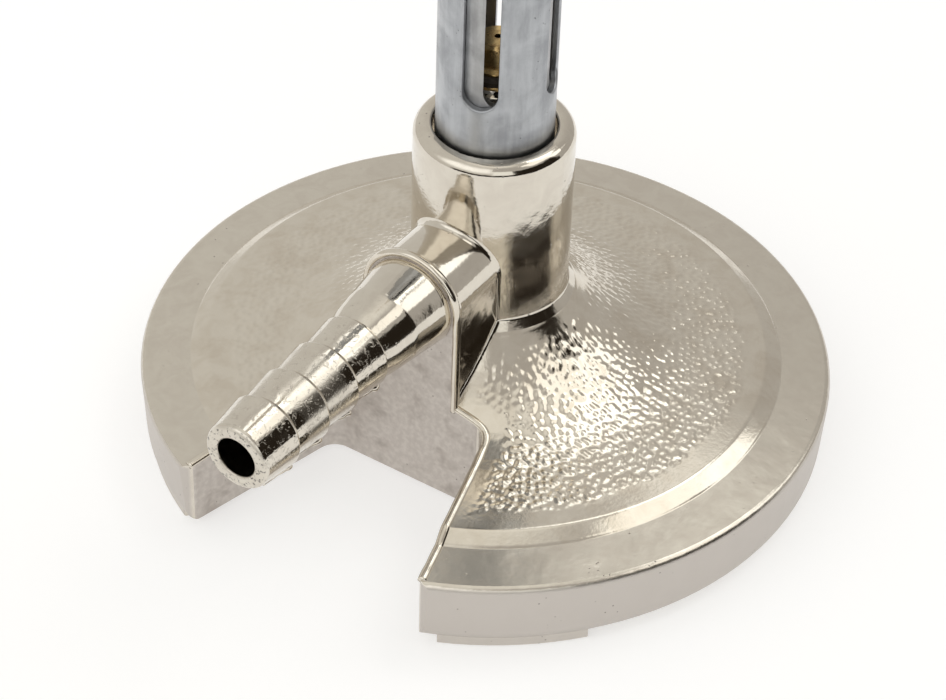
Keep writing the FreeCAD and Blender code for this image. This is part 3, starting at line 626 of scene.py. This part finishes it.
def paint(node, finish):
    """Gives a kept CAD node its finish in every material slot."""
    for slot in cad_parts[node].material_slots:
        slot.material = finish


paint("base_casting", nickel_on_casting())
paint("air_sleeve", zinc("zinc_sleeve", (0.47, 0.485, 0.505), (0.33, 0.34, 0.36), 0.34))
paint("mixing_tube", zinc("zinc_tube", (0.52, 0.525, 0.53), (0.33, 0.33, 0.335), 0.42))
paint("gas_jet", turned_brass())
paint("jet_washer", dark_fibre())
paint("friction_ring", spring_steel())
paint("barrel", nickel_on_tube())

# ---------------------------------------------------------------- added pieces

dome_finish = nickel_on_dome()
SKIN_SECTORS = 3
MOULD_LINE_TURN = 46
edges = np.linspace(-math.pi, math.pi, SKIN_SECTORS + 1)
for number in range(SKIN_SECTORS):
    add_pebbled_skin("pebbled_skin_%d" % (number + 1), edges[number], edges[number + 1], dome_finish)

bead_finish = nickel_on_dome()
for side_name, side in (("left", -1), ("right", 1)):
    add_notch_bead("notch_bead_" + side_name, side, bead_finish)
add_boss_bead(bead_finish)
add_mould_flash("mould_flash_right", math.radians(-MOULD_LINE_TURN), bead_finish)
add_mould_flash("mould_flash_left", math.radians(180 + MOULD_LINE_TURN), bead_finish)


# ---------------------------------------------------------------- camera, light and floor


CAMERA_AZIMUTH = 32.3
CAMERA_ELEVATION = 39.99
CAMERA_ROLL = 2.02
CAMERA_DISTANCE = 343.2
CAMERA_AIM = (-1.365, -0.863, 9.30)


def add_camera():
    """A camera at 40 degrees above the bench, in front and to the right of the tail, slightly rolled."""
    azimuth = math.radians(CAMERA_AZIMUTH)
    elevation = math.radians(CAMERA_ELEVATION)
    roll = math.radians(CAMERA_ROLL)
    aim = Vector(CAMERA_AIM) * MM
    back = Vector((math.sin(azimuth) * math.cos(elevation), -math.cos(azimuth) * math.cos(elevation),
                   math.sin(elevation)))
    level_right = Vector((math.cos(azimuth), math.sin(azimuth), 0))
    level_up = back.cross(level_right)
    right = level_right * math.cos(roll) + level_up * math.sin(roll)
    up = back.cross(right)
    camera = bpy.data.objects.new("camera", bpy.data.cameras.new("camera"))
    camera.data.sensor_width = 36.0
    camera.data.lens = 105.6
    camera.data.clip_start = 0.01
    place = aim + back * CAMERA_DISTANCE * MM
    camera.matrix_world = Matrix.Translation(place) @ Matrix((right, up, back)).transposed().to_4x4()
    bpy.context.scene.collection.objects.link(camera)
    bpy.context.scene.camera = camera


class Studio:
    """The light all round the burner, painted on the sky by direction.

    Azimuth 0 is straight away from the camera and positive to its right; elevation 0 is level.
    """

    def __init__(self):
        world = bpy.data.worlds.new("studio")
        bpy.context.scene.world = world
        world.use_nodes = True
        self.tree = world.node_tree
        self.tree.nodes.clear()
        self.direction = self.tree.nodes.new("ShaderNodeTexCoord").outputs["Generated"]
        turn = math.radians(CAMERA_AZIMUTH)
        away = self.along((-math.sin(turn), math.cos(turn), 0))
        right = self.along((math.cos(turn), math.sin(turn), 0))
        self.azimuth = self.math("DEGREES", self.math("ARCTAN2", right, away))
        self.elevation = self.math("DEGREES", self.math("ARCSINE", self.along((0, 0, 1))))

    def math(self, operation, a, b=0.0):
        node = self.tree.nodes.new("ShaderNodeMath")
        node.operation = operation
        for value, socket in ((a, node.inputs[0]), (b, node.inputs[1])):
            if isinstance(value, (int, float)):
                socket.default_value = value
            else:
                self.tree.links.new(value, socket)
        return node.outputs[0]

    def fade(self, value, low, high):
        node = self.tree.nodes.new("ShaderNodeMapRange")
        node.interpolation_type = "SMOOTHSTEP"
        self.tree.links.new(value, node.inputs["Value"])
        node.inputs["From Min"].default_value = low
        node.inputs["From Max"].default_value = high
        return node.outputs["Result"]

    def along(self, vector):
        """How far the direction points along a vector."""
        node = self.tree.nodes.new("ShaderNodeVectorMath")
        node.operation = "DOT_PRODUCT"
        self.tree.links.new(self.direction, node.inputs[0])
        node.inputs[1].default_value = vector
        return node.outputs["Value"]

    def patch(self, first, last, low, high, edge=2.0, edge_up=None):
        """1 between two azimuths and two elevations in degrees, fading over edge degrees."""
        sides = self.math("MULTIPLY", self.fade(self.azimuth, first - edge, first + edge),
                          self.fade(self.azimuth, last + edge, last - edge))
        edge_up = edge_up or edge
        levels = self.math("MULTIPLY", self.fade(self.elevation, low - edge_up, low + edge_up),
                           self.fade(self.elevation, high + edge_up, high - edge_up))
        return self.math("MULTIPLY", sides, levels)

    def blend(self, share, a, b):
        node = self.tree.nodes.new("ShaderNodeMix")
        node.data_type = "RGBA"
        self.tree.links.new(share, node.inputs["Factor"])
        for socket, value in ((node.inputs[MIX_COLOUR_A], a), (node.inputs[MIX_COLOUR_B], b)):
            if isinstance(value, tuple):
                socket.default_value = (*value, 1)
            else:
                self.tree.links.new(value, socket)
        return node.outputs[MIX_COLOUR_RESULT]

    def finish(self, colour):
        """Shows the studio in the metal, and a plain pale backdrop straight behind the burner."""
        seen = self.tree.nodes.new("ShaderNodeLightPath").outputs["Is Camera Ray"]
        background = self.tree.nodes.new("ShaderNodeBackground")
        shown = self.blend(seen, colour, (1.0, 1.0, 1.0))
        self.tree.links.new(shown, background.inputs["Color"])
        output = self.tree.nodes.new("ShaderNodeOutputWorld")
        self.tree.links.new(background.outputs[0], output.inputs["Surface"])


DOORWAY = (0.022, 0.017, 0.012)


def light_studio():
    """A pale room with bright panels high on the right and behind, and dark doorways low down."""
    studio = Studio()
    room = studio.fade(studio.azimuth, -30.0, 50.0)
    sky = studio.blend(room, (0.72, 0.70, 0.66), (0.52, 0.50, 0.47))
    sky = studio.blend(studio.fade(studio.elevation, 66.0, 82.0), sky, (0.98, 0.96, 0.90))
    sky = studio.blend(studio.patch(-178, -100, 22, 60, 12), sky, (1.4, 1.4, 1.37))
    sky = studio.blend(studio.patch(86, 100, -12, 40.5, 1.4, 0.8), sky, DOORWAY)
    sky = studio.blend(studio.patch(99, 152, -12, 36, 1.6, 0.8), sky, DOORWAY)
    sky = studio.blend(studio.patch(152, 181, -4, 40, 2.0), sky, (1.1, 1.1, 1.06))
    sky = studio.blend(studio.patch(100, 181, -9, 7, 4.0, 1.0), sky, DOORWAY)
    sky = studio.blend(studio.patch(-181, -125, -9, 7, 6.0, 1.0), sky, (0.03, 0.024, 0.018))
    sky = studio.blend(studio.patch(30, 70, 49.5, 68, 1.5, 1.0), sky, (2.1, 2.1, 2.03))
    sky = studio.blend(studio.patch(13, 22, 46, 54.5, 1.5, 1.0), sky, (1.15, 1.13, 1.08))
    sky = studio.blend(studio.patch(70, 118, 46, 66, 2.0, 1.0), sky, (1.5, 1.47, 1.38))
    sky = studio.blend(studio.patch(8, 30, 58, 68, 2.0), sky, (1.8, 1.8, 1.75))
    sky = studio.blend(studio.patch(58, 82, 30, 48, 1.5), sky, (1.7, 1.7, 1.65))
    studio.finish(sky)


def add_floor():
    """A plain pale round table top, bigger than the view."""
    radii = (150.0, 420.0)
    height = -0.02
    count = 96
    around = np.arange(count)
    after = (around + 1) % count
    turn = np.linspace(0, 2 * math.pi, count, endpoint=False)
    rings = [np.column_stack([r * np.cos(turn), r * np.sin(turn), np.full(count, height)]) for r in radii]
    points = np.concatenate([[[0.0, 0.0, height]], *rings])
    inner = np.column_stack([np.zeros(count, int), 1 + around, 1 + after])
    outer = np.column_stack([1 + around, 1 + count + around, 1 + count + after, 1 + after])
    faces = inner.tolist() + outer.tolist()
    mesh = bpy.data.meshes.new("floor")
    mesh.from_pydata((points * MM).tolist(), [], faces)
    floor = bpy.data.objects.new("floor", mesh)
    paper = bpy.data.materials.new("white_paper")
    paper.use_nodes = True
    shader = paper.node_tree.nodes["Principled BSDF"]
    shader.inputs["Base Color"].default_value = (0.60, 0.60, 0.60, 1)
    shader.inputs["Roughness"].default_value = 0.8
    shader.inputs["Specular IOR Level"].default_value = 0.1
    shader.inputs["Emission Color"].default_value = (1, 1, 1, 1)
    shader.inputs["Emission Strength"].default_value = 0.52
    mesh.materials.append(paper)
    bpy.context.scene.collection.objects.link(floor)


add_camera()
light_studio()
add_floor()
bpy.context.scene.view_settings.view_transform = "Standard"
